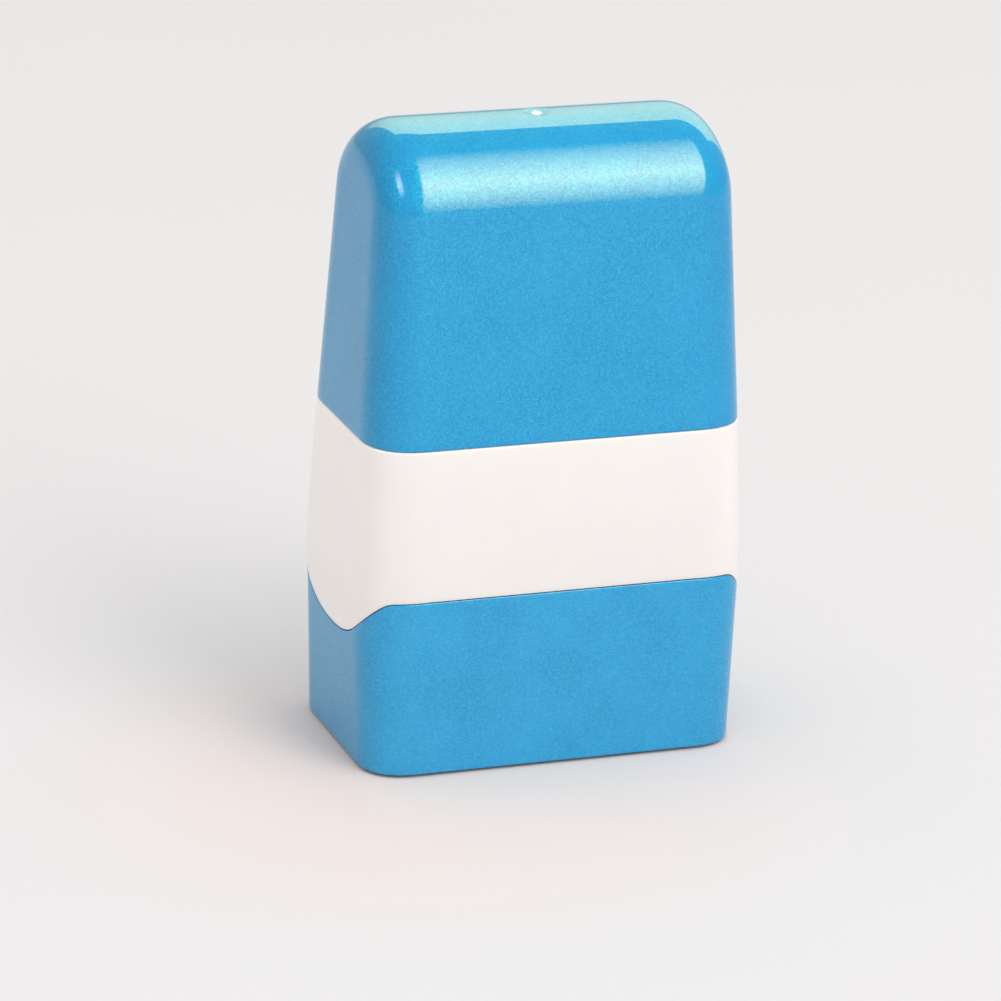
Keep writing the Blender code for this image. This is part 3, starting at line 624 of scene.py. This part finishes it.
grey = plastic(
    "grey_moulded_plastic",
    (0.46, 0.47, 0.48),
    (0.54, 0.55, 0.56),
    (0.34, 0.46),
    0.20 * MM,
    0.006 * MM,
    Specular_IOR_Level=0.5,
)

core = [(-DRUM_HALF, CORE_BORE), (-DRUM_HALF, CORE_RADIUS), (DRUM_HALF, CORE_RADIUS), (DRUM_HALF, CORE_BORE)]
tube = ring_mesh("drum_core_moulded", turned_rings(soft_profile(core, TURNED_ROUND), DRUM_Z), closed=True)
fit_out(tube, grey, "drum", "grey_plastic", "drum_core")
for side, word in ((-1, "left"), (1, "right")):
    flanged = [
        (side * BUSH_START, BUSH_BORE),
        (side * BUSH_START, BUSH_OUTSIDE),
        (side * BUSH_FACE, BUSH_OUTSIDE),
        (side * BUSH_FACE, BUSH_FLANGE),
        (side * BUSH_END, BUSH_FLANGE),
        (side * BUSH_END, BUSH_BORE),
    ]
    rings = turned_rings(soft_profile(flanged, TURNED_ROUND), DRUM_Z)
    bush = ring_mesh(f"drum_bush_{word}_moulded", rings, closed=True)
    fit_out(bush, ivory, "drum", "ivory_white", f"drum_bush_{word}")

# The traction rings
# Two soft rubber rings with fine cross grooves, stretched onto the ends of the core. They roll on the paper
# and so turn the drum.

RING_NEAR, RING_FAR, RUBBER_BORE, DRUM_RADIUS = 13.3 * MM, 14.5 * MM, 6.5 * MM, 8.0 * MM
RING_GROOVES, GROOVE_DEPTH, RING_CROWN = 72, 0.14 * MM, 0.22 * MM
GROOVE_STEPS, GROOVE_STEEPNESS, GROOVE_NARROWING = 5, 3, 0.45
INK_WAVER, INK_FADE, WET_INK = 0.08 * MM, 0.18 * MM, (0.008, 0.008, 0.012, 1)


def inked_rubber(name, dry, drier, inked_from):
    """Rubber by its distance from the drum's axis: dry and dusty below, black and wet where ink reaches."""
    made, tree, shader = new_material(name, Specular_IOR_Level=0.4)
    point, group = skin_nodes(tree, 0.22 * MM)
    centred = node(tree, "ShaderNodeMapping", {"Vector": point, "Location": (0.0, 0.0, -DRUM_Z)})
    across = node(tree, "ShaderNodeVectorMath", {0: centred.outputs[0], 1: (0, 1, 1)}, operation="MULTIPLY")
    radius = node(tree, "ShaderNodeVectorMath", {0: across.outputs[0]}, operation="LENGTH")
    haze = group.outputs["Haze"]
    patchy = node(tree, "ShaderNodeMapRange", {"Value": haze, "To Min": -INK_WAVER, "To Max": INK_WAVER})
    uneven = node(tree, "ShaderNodeMath", {0: radius.outputs["Value"], 1: patchy.outputs[0]}, operation="ADD")
    ink = node(
        tree,
        "ShaderNodeMapRange",
        {"Value": uneven.outputs[0], "From Min": inked_from, "From Max": inked_from + INK_FADE},
    )
    rubber = mix_colour(tree, haze, (*dry, 1), (*drier, 1))
    colour = mix_colour(tree, ink.outputs[0], rubber, WET_INK)
    tree.links.new(colour, shader.inputs["Base Color"])
    rough = node(tree, "ShaderNodeMapRange", {"Value": ink.outputs[0], "To Min": 0.78, "To Max": 0.34})
    tree.links.new(rough.outputs[0], shader.inputs["Roughness"])
    relief = node(tree, "ShaderNodeBump", {"Height": group.outputs["Grain"], "Distance": 0.012 * MM})
    tree.links.new(relief.outputs[0], shader.inputs["Normal"])
    return made


ring_rubber = inked_rubber("ring_rubber", (0.045, 0.045, 0.048), (0.075, 0.074, 0.076), DRUM_RADIUS)
turn = np.linspace(0, 2 * math.pi, RING_GROOVES * GROOVE_STEPS, endpoint=False)
wave = np.tanh(GROOVE_STEEPNESS * (np.cos(RING_GROOVES * turn) + GROOVE_NARROWING))
grooves = -GROOVE_DEPTH * (0.5 - 0.5 * wave)
for side, word in ((-1, "left"), (1, "right")):
    tyre = [
        (side * RING_NEAR, RUBBER_BORE),
        (side * RING_NEAR, DRUM_RADIUS),
        (side * RING_FAR, DRUM_RADIUS),
        (side * RING_FAR, RUBBER_BORE),
    ]
    tyre = soft_profile(tyre, RING_CROWN)
    lift = np.clip((tyre[:, 1:2] - (DRUM_RADIUS - RING_CROWN)) / RING_CROWN, 0, 1)
    rings = turned_rings(tyre, DRUM_Z, steps=turn.size, relief=lift * grooves)
    tyre_obj = ring_mesh(f"traction_ring_{word}_moulded", rings, closed=True, angle=60)
    fit_out(tyre_obj, ring_rubber, "drum", "stamp_rubber", f"traction_ring_{word}")

# The stamp sleeve
# The rubber that prints: a moulded sleeve with rows of raised blocks and bars of many lengths, pulled over
# the core. Together they print a dense pattern. The blocks are plain shapes, and their faces are black with
# ink.

PRINT_HALF, SLEEVE_BASE = 13.0 * MM, 7.5 * MM
RELIEF_ROWS, STEPS_IN_ROW, STEPS_ALONG = 24, 14, 174
BLOCK_COUNT, BLOCK_MIN, BLOCK_SPAN, BLOCK_GAP = 24, 0.9 * MM, 1.9 * MM, 0.45 * MM
FIRST_BLOCK, BARE_END = 0.35 * MM, 0.3 * MM
GOLDEN, ROW_STEP, ROW_SHIFT = 0.618034, 0.7548777, 0.569840
KIND_STEP, KIND_SHIFT, KINDS = 7, 5, 6
ROW_SHARE, SPLIT_SHARE, SPLIT_HALF_SHARE = 0.74, 0.36, 0.09
LOW_BAR_SHARE, MIDDLE_BAR_SHARES = 0.46, (0.14, 0.60)
INKED_RADIUS = 7.62 * MM


def relief_mask(x):
    """One where the sleeve is raised, over rows of angle and places x.

    Along a row, block widths follow the fractional parts of multiples of the golden ratio, with a fixed gap
    between them. Its number and its row give each block one of six kinds. Across the row it fills all but
    the groove, or is split in two bars, or keeps only its low, its high or its middle part.
    """
    mask = np.zeros((RELIEF_ROWS, STEPS_IN_ROW, x.size))
    across = np.linspace(0, 1, STEPS_IN_ROW, endpoint=False)[:, None]
    order = np.arange(BLOCK_COUNT)
    for row in range(RELIEF_ROWS):
        spread = np.modf((order + 1) * GOLDEN + row * ROW_STEP)[0]
        width = BLOCK_MIN + BLOCK_SPAN * spread
        start = -PRINT_HALF + FIRST_BLOCK + np.concatenate([[0], np.cumsum(width + BLOCK_GAP)[:-1]])
        start -= BLOCK_MIN * np.modf(row * ROW_SHIFT)[0]
        block = np.searchsorted(start, x, side="right") - 1
        inside = (block >= 0) & (x - start[block] < width[block]) & (np.abs(x) < PRINT_HALF - BARE_END)
        kind = (block * KIND_STEP + row * KIND_SHIFT) % KINDS
        low = np.select([kind == 3, kind == 5], [SPLIT_SHARE, MIDDLE_BAR_SHARES[0]], 0.0)
        high = np.select([kind == 2, kind == 5], [LOW_BAR_SHARE, MIDDLE_BAR_SHARES[1]], ROW_SHARE)
        split = ((kind == 1) | (kind == 4)) & (np.abs(across - SPLIT_SHARE) < SPLIT_HALF_SHARE)
        raised = (across >= low) & (across < high) & ~split
        mask[row] = np.where(inside, raised, 0)
    return mask.reshape(RELIEF_ROWS * STEPS_IN_ROW, x.size)


sleeve_x = np.linspace(-PRINT_HALF, PRINT_HALF, STEPS_ALONG + 1)
mask = relief_mask(sleeve_x).T
turn = np.linspace(0, 2 * math.pi, mask.shape[1], endpoint=False)
radius = SLEEVE_BASE + (DRUM_RADIUS - SLEEVE_BASE) * mask
outside = np.stack(
    [sleeve_x[:, None] + 0 * radius, radius * np.sin(turn), DRUM_Z + radius * np.cos(turn)], axis=-1
)
bore = turned_rings([(PRINT_HALF, RUBBER_BORE), (-PRINT_HALF, RUBBER_BORE)], DRUM_Z, steps=mask.shape[1])
sleeve_rubber = inked_rubber("sleeve_rubber", (0.20, 0.045, 0.040), (0.27, 0.070, 0.060), INKED_RADIUS)
sleeve = ring_mesh("stamp_sleeve_moulded", np.concatenate([outside, bore]), closed=True, angle=30)
fit_out(sleeve, sleeve_rubber, "drum", "stamp_rubber", "stamp_sleeve")

# The ink roller
# A grey flanged spool, moulded in one piece, that runs on the upper steel pin. A sleeve of open foam, soaked
# with black ink, is pulled over it and turns against the pads.

SPOOL_RADIUS, SPOOL_BORE, SPOOL_FLANGE = 2.3 * MM, 1.444 * MM, 4.42 * MM
FLANGE_NEAR, FLANGE_FAR, SPOOL_END = 13.3 * MM, 14.1 * MM, 15.3 * MM
FOAM_RADIUS, FOAM_BORE, FOAM_ROUND = 5.2 * MM, 2.6 * MM, 0.55 * MM
PORE_SIZE, PORE_DEPTH, SMALLER_PORES = 0.28 * MM, 0.10 * MM, 2.7
FOAM_STEPS_ALONG, FOAM_STEPS_ROUND, CROWN_STEPS = 150, 320, 6


def soaked_foam():
    """Open foam: two sizes of Voronoi cells as pores, darkest and glossiest in the low middle of each cell,
    greyer and duller up on the cell walls.
    """
    made, tree, shader = new_material("soaked_foam", Specular_IOR_Level=0.3)
    point = node(tree, "ShaderNodeTexCoord").outputs["Object"]
    pores = node(tree, "ShaderNodeTexVoronoi", {"Vector": point, "Scale": 1 / PORE_SIZE})
    small = node(tree, "ShaderNodeTexVoronoi", {"Vector": point, "Scale": SMALLER_PORES / PORE_SIZE})
    both = node(tree, "ShaderNodeMath", {0: pores.outputs[0], 1: small.outputs[0]}, operation="ADD")
    wall = node(tree, "ShaderNodeMapRange", {"Value": both.outputs[0], "From Min": 0.5, "From Max": 1.3})
    colour = mix_colour(tree, wall.outputs[0], (0.004, 0.004, 0.006, 1), (0.05, 0.05, 0.06, 1))
    tree.links.new(colour, shader.inputs["Base Color"])
    rough = node(tree, "ShaderNodeMapRange", {"Value": wall.outputs[0], "To Min": 0.5, "To Max": 0.95})
    tree.links.new(rough.outputs[0], shader.inputs["Roughness"])
    relief = node(tree, "ShaderNodeBump", {"Height": both.outputs[0], "Distance": PORE_DEPTH})
    tree.links.new(relief.outputs[0], shader.inputs["Normal"])
    return made


def foam_relief(x, turn):
    """Shallow dents of the foam's skin: two products of waves along and round it that don't line up."""
    pore = x / PORE_SIZE
    bumps = np.sin(pore * 1.9 + 3 * np.sin(turn * 7)) * np.sin(turn * 41 + 2 * np.sin(pore * 0.7))
    bumps += 0.6 * np.sin(pore * 3.1 + turn * 5) * np.sin(turn * 67 - pore)
    return -PORE_DEPTH * np.clip(0.4 + 0.6 * bumps, 0, 1)


half_spool = [
    (FLANGE_NEAR, SPOOL_RADIUS),
    (FLANGE_NEAR, SPOOL_FLANGE),
    (FLANGE_FAR, SPOOL_FLANGE),
    (FLANGE_FAR, SPOOL_RADIUS),
    (SPOOL_END, SPOOL_RADIUS),
    (SPOOL_END, SPOOL_BORE),
]
spool = [(-x, r) for x, r in reversed(half_spool)] + half_spool
spool_rings = turned_rings(soft_profile(spool, TURNED_ROUND), INK_Z)
spool_obj = ring_mesh("ink_spool_moulded", spool_rings, closed=True)
fit_out(spool_obj, grey, "ink_roller", "grey_plastic", "ink_spool")

foam_x = np.linspace(-PRINT_HALF + FOAM_ROUND, PRINT_HALF - FOAM_ROUND, FOAM_STEPS_ALONG)
crown = FOAM_ROUND * np.sin(np.linspace(0, math.pi / 2, CROWN_STEPS + 1))[:-1]
drop = FOAM_ROUND - np.sqrt(FOAM_ROUND**2 - (FOAM_ROUND - crown) ** 2)
left_x = -PRINT_HALF + crown
foam_profile = np.concatenate(
    [
        [(-PRINT_HALF, FOAM_BORE)],
        np.stack([left_x, FOAM_RADIUS - drop], axis=1),
        np.stack([foam_x, FOAM_RADIUS + 0 * foam_x], axis=1),
        np.stack([-left_x, FOAM_RADIUS - drop], axis=1)[::-1],
        [(PRINT_HALF, FOAM_BORE)],
    ]
)
turn = np.linspace(0, 2 * math.pi, FOAM_STEPS_ROUND, endpoint=False)
dents = foam_relief(foam_profile[:, 0:1], turn) * (foam_profile[:, 1:2] > FOAM_BORE)
foam_rings = turned_rings(foam_profile, INK_Z, steps=turn.size, relief=dents)
foam = ring_mesh("ink_foam_soaked", foam_rings, closed=True, angle=180)
fit_out(foam, soaked_foam(), "ink_roller", "ink_foam", "ink_foam")

# The end cap
# A second moulding in the same pearl blue, with an arc cut out of each end wall for the frame's tongue. It
# keeps the pads from drying, grips the neck by friction, and is the foot that the stamp stands on.

CAP_FLOOR, CAP_MIDDLE, FOOT_STEPS = 1.3 * MM, 11.0 * MM, 4
FOOT_EDGE, FOOT_FLAT, FOOT_LIFT, FOOT_STEP = 0.15 * MM, 0.25 * MM, 0.34 * MM, 1.4 * MM

pearl_cap = pearl("pearl_blue_cap", (0.018, 0.227, 0.468), (0.018, 0.335, 0.545), (0.001, 0.155, 0.36))
foot_side, foot_along = round_over(FOOT_EDGE, FOOT_STEPS)
foot_side = np.concatenate([[FOOT_STEP, FOOT_STEP, FOOT_FLAT], foot_side[1:]])
foot_along = np.concatenate([[0.0, FOOT_LIFT, FOOT_LIFT], FOOT_LIFT + foot_along[1:]])
foot_end, cap_top = foot_along[-1], rim - SEAM_HALF_GAP
cap_rings = np.concatenate(
    [
        rows_of(foot_side, foot_along),
        body_skin(0.0, foot_end + (cap_top - RIM_EDGE - foot_end) * share),
        body_skin(rim_in[::-1, None], cap_top - rim_up[::-1, None]),
        body_skin(CAP_WALL - rim_in[:, None], cap_top - rim_up[:, None]),
        rows_of(CAP_WALL, [CAP_MIDDLE, CAP_FLOOR + EDGE]),
        rows_of(CAP_WALL + edge_in[::-1], CAP_FLOOR + edge_up[::-1]),
    ]
)
fit_out(ring_mesh("end_cap_shaped", cap_rings), pearl_cap, "cap", "pearl_blue", "end_cap")

# The floor, the lights and the camera
# A sheet of pale paper, with large soft boxes in front, behind and on the left. Some reach only the pearl
# pieces or only the plain ones, or only their gloss or soft light, and the room is darker in reflections.
# The camera is a long lens, a little above and to the left of the front. Its angles are in radians.

LENS_PIXELS, FRAME_PIXELS, SENSOR = 5200.0, 1001.0, 36.0
TURN, LIFT, ROLL = 0.34476, 0.32942, 0.03065
SHIFT_X, SHIFT_Y, DISTANCE = 1.86408 * MM, -25.49261 * MM, 601.47051 * MM
FLOOR_REACH, PAINTED_TINT_MIDDLE, PAINTED_TINT_INNER, PAINTED_TINT_OUTER = 3.0, (-14 * MM, -16 * MM, 0), 10 * MM, 58 * MM
AIM, FRONT, BACK = Vector((0, 0, 0.05)), Vector((0.56, -1.11, 1.21)), Vector((0.55, 1.05, 0.65))
LEFT, LEFT_FRONT = Vector((-1.5, 0.2, 1.1)), Vector((-1.2, -0.9, 0.95))
LEFT_NEAR = Vector((-0.679, -0.302, 0.70))
FRONT_WIDTH, BACK_WIDTH, BACK_HEIGHT, FADED_END = 0.98, 1.5, 1.1, 0.12
WHITE, CREAM = (1.0, 0.985, 0.97), (1.0, 0.965, 0.93)
AMBER, LIME, AQUA = (1.0, 0.79, 0.25), (0.95, 1.0, 0.38), (0.6, 1.0, 0.9)
ROOM_COLOUR, ROOM_LIGHT, ROOM_IN_GLOSS = (1.0, 0.975, 0.965, 1), 0.83, 0.45


def pale_paper():
    """Paper with slow clouds of tone and fine fibres, and a painted warm tint round the stamp's foot that
    offsets the blue light the stamp throws back on the floor.
    """
    made, tree, shader = new_material("pale_paper", Specular_IOR_Level=0.25)
    point = node(tree, "ShaderNodeTexCoord").outputs["Object"]
    cloud = node(tree, "ShaderNodeTexNoise", {"Vector": point, "Scale": 9.0, "Detail": 3.0})
    fibre = node(tree, "ShaderNodeTexNoise", {"Vector": point, "Scale": 900.0, "Detail": 3.0})
    tone = mix_colour(tree, cloud.outputs[0], (0.845, 0.84, 0.845, 1), (0.865, 0.86, 0.87, 1))
    # Painted light: a warm tint round the stamp's foot, fading from the inner to the outer distance, stands
    # in for less blue light thrown back by the stamp.
    way = node(tree, "ShaderNodeVectorMath", {0: point, 1: PAINTED_TINT_MIDDLE}, operation="DISTANCE")
    near = node(tree, "ShaderNodeMapRange", interpolation_type="SMOOTHERSTEP")
    tree.links.new(way.outputs["Value"], near.inputs["Value"])
    near.inputs["From Min"].default_value, near.inputs["From Max"].default_value = PAINTED_TINT_OUTER, PAINTED_TINT_INNER
    tone = mix_colour(tree, near.outputs[0], tone, (0.925, 0.826, 0.79, 1))
    tree.links.new(tone, shader.inputs["Base Color"])
    tooth = node(tree, "ShaderNodeMapRange", {"Value": fibre.outputs[0], "To Min": 0.55, "To Max": 0.75})
    tree.links.new(tooth.outputs[0], shader.inputs["Roughness"])
    relief = node(tree, "ShaderNodeBump", {"Height": fibre.outputs[0], "Distance": 0.02 * MM})
    tree.links.new(relief.outputs[0], shader.inputs["Normal"])
    return made


corners = [(x * FLOOR_REACH, y * FLOOR_REACH, 0) for x, y in ((-1, -1), (1, -1), (1, 1), (-1, 1))]
floor_mesh = bpy.data.meshes.new("floor")
floor_mesh.from_pydata(corners, [], [(0, 1, 2, 3)])
floor_mesh.materials.append(pale_paper())
floor = bpy.data.objects.new("floor", floor_mesh)
bpy.context.scene.collection.objects.link(floor)


def soft_box(name, place, width, height, power, colour, pieces=None, gloss=True, soft=True):
    """A rectangular area light that faces the stamp, with its height square to the X axis.

    It reaches only the given pieces, if any, and can be left out of their gloss or of their soft light.
    """
    lamp = bpy.data.lights.new(name, "AREA")
    lamp.shape, lamp.size, lamp.size_y, lamp.energy, lamp.color = "RECTANGLE", width, height, power, colour
    obj = bpy.data.objects.new(name, lamp)
    away = (place - AIM).normalized()
    height_axis = away.cross(Vector((1, 0, 0))).normalized()
    axes = [height_axis.cross(away), height_axis, away]
    obj.matrix_world = Matrix.Translation(place) @ Matrix(axes).transposed().to_4x4()
    obj.visible_camera, obj.visible_glossy, obj.visible_diffuse = False, gloss, soft
    if pieces:
        obj.light_linking.receiver_collection = pieces
    bpy.context.scene.collection.objects.link(obj)
    return obj


def place_on(box):
    """Readies a soft box for a pattern: its node tree, and the place on it as shares of width and height."""
    box.data.use_nodes = True
    tree = box.data.node_tree
    face = node(tree, "ShaderNodeNewGeometry").outputs["Parametric"]
    return tree, node(tree, "ShaderNodeSeparateXYZ", {0: face}).outputs


def fade_out(box, ends=FADED_END):
    """Fades a soft box evenly from its middle to its upper and lower edges, and over a share of each end."""
    tree, place = place_on(box)
    fades = []
    for axis, share, peak, shape in ((1, 0.5, 2.0, "LINEAR"), (0, ends, 1.0, "SMOOTHSTEP")):
        away = node(tree, "ShaderNodeMath", {0: place[axis], 1: 0.5}, operation="SUBTRACT")
        away = node(tree, "ShaderNodeMath", {0: away.outputs[0]}, operation="ABSOLUTE")
        fade = node(tree, "ShaderNodeMapRange", {"Value": away.outputs[0]}, interpolation_type=shape)
        fade.inputs["From Min"].default_value, fade.inputs["From Max"].default_value = 0.5, 0.5 - share
        fade.inputs["To Max"].default_value = peak
        fades.append(fade.outputs[0])
    strength = node(tree, "ShaderNodeMath", {0: fades[0], 1: fades[1]}, operation="MULTIPLY")
    tree.links.new(strength.outputs[0], tree.nodes["Emission"].inputs["Strength"])


def grade(box, low, high):
    """Gives a soft box a strength that runs evenly from low at its lower edge to high at its upper edge."""
    tree, place = place_on(box)
    rise = node(tree, "ShaderNodeMapRange", {"Value": place[1], "To Min": low, "To Max": high})
    tree.links.new(rise.outputs[0], tree.nodes["Emission"].inputs["Strength"])


pearls, plains = (bpy.data.collections.new(name) for name in ("pearl_pieces", "plain_pieces"))
for obj in bpy.context.scene.objects:
    if obj.type == "MESH" and obj != floor:
        pearly = obj.active_material.name.startswith("pearl")
        (pearls if pearly else plains).objects.link(obj)

fade_out(soft_box("front_box", FRONT, FRONT_WIDTH, 3.4, 14.6, WHITE, gloss=False))
fade_out(soft_box("front_fill", 0.97 * FRONT, FRONT_WIDTH, 3.3, 25.0, WHITE, plains))
fade_out(soft_box("front_fill_pearl", 0.97 * FRONT, FRONT_WIDTH, 3.3, 25.0, WHITE, pearls, gloss=False))
fade_out(soft_box("front_gloss_pearl", 0.94 * FRONT, FRONT_WIDTH, 3.2, 52.0, AMBER, pearls, soft=False))
soft_box("back_gloss", BACK, BACK_WIDTH, BACK_HEIGHT, 6.0, WHITE, plains)
fade_out(soft_box("left_gloss_pearl", LEFT_NEAR, 0.34, 0.75, 3.8, WHITE, pearls, soft=False), ends=0.4)
grade(soft_box("back_gloss_pearl", BACK, BACK_WIDTH, BACK_HEIGHT, 9.6, LIME, pearls), low=1.9, high=0.25)
soft_box("left_fill", LEFT, 1.2, 1.0, 20.0, CREAM, plains)
soft_box("left_fill_pearl", LEFT_FRONT, 1.2, 1.0, 10.0, AQUA, pearls, gloss=False)

world = bpy.data.worlds.new("bright_room")
world.use_nodes = True
tree = world.node_tree
ray = node(tree, "ShaderNodeLightPath").outputs["Is Glossy Ray"]
power = node(tree, "ShaderNodeMapRange", {"Value": ray, "To Min": ROOM_LIGHT, "To Max": ROOM_IN_GLOSS})
tree.nodes["Background"].inputs["Color"].default_value = ROOM_COLOUR
tree.links.new(power.outputs[0], tree.nodes["Background"].inputs["Strength"])
bpy.context.scene.world = world
bpy.context.scene.view_settings.view_transform = "Standard"

back = Vector((-math.sin(TURN) * math.cos(LIFT), -math.cos(TURN) * math.cos(LIFT), math.sin(LIFT)))
level = Vector((math.cos(TURN), -math.sin(TURN), 0))
upright = back.cross(level)
across = level * math.cos(ROLL) + upright * math.sin(ROLL)
upwards = upright * math.cos(ROLL) - level * math.sin(ROLL)
lens = bpy.data.cameras.new("camera")
lens.sensor_width, lens.lens = SENSOR, LENS_PIXELS / FRAME_PIXELS * SENSOR
lens.clip_start, lens.clip_end = 0.01, 20.0
camera = bpy.data.objects.new("camera", lens)
bpy.context.scene.collection.objects.link(camera)
camera.matrix_world = Matrix.Translation(back * DISTANCE - across * SHIFT_X - upwards * SHIFT_Y) @ Matrix(
    [[across[i], upwards[i], back[i]] for i in range(3)]
).to_4x4()
bpy.context.scene.camera = camera
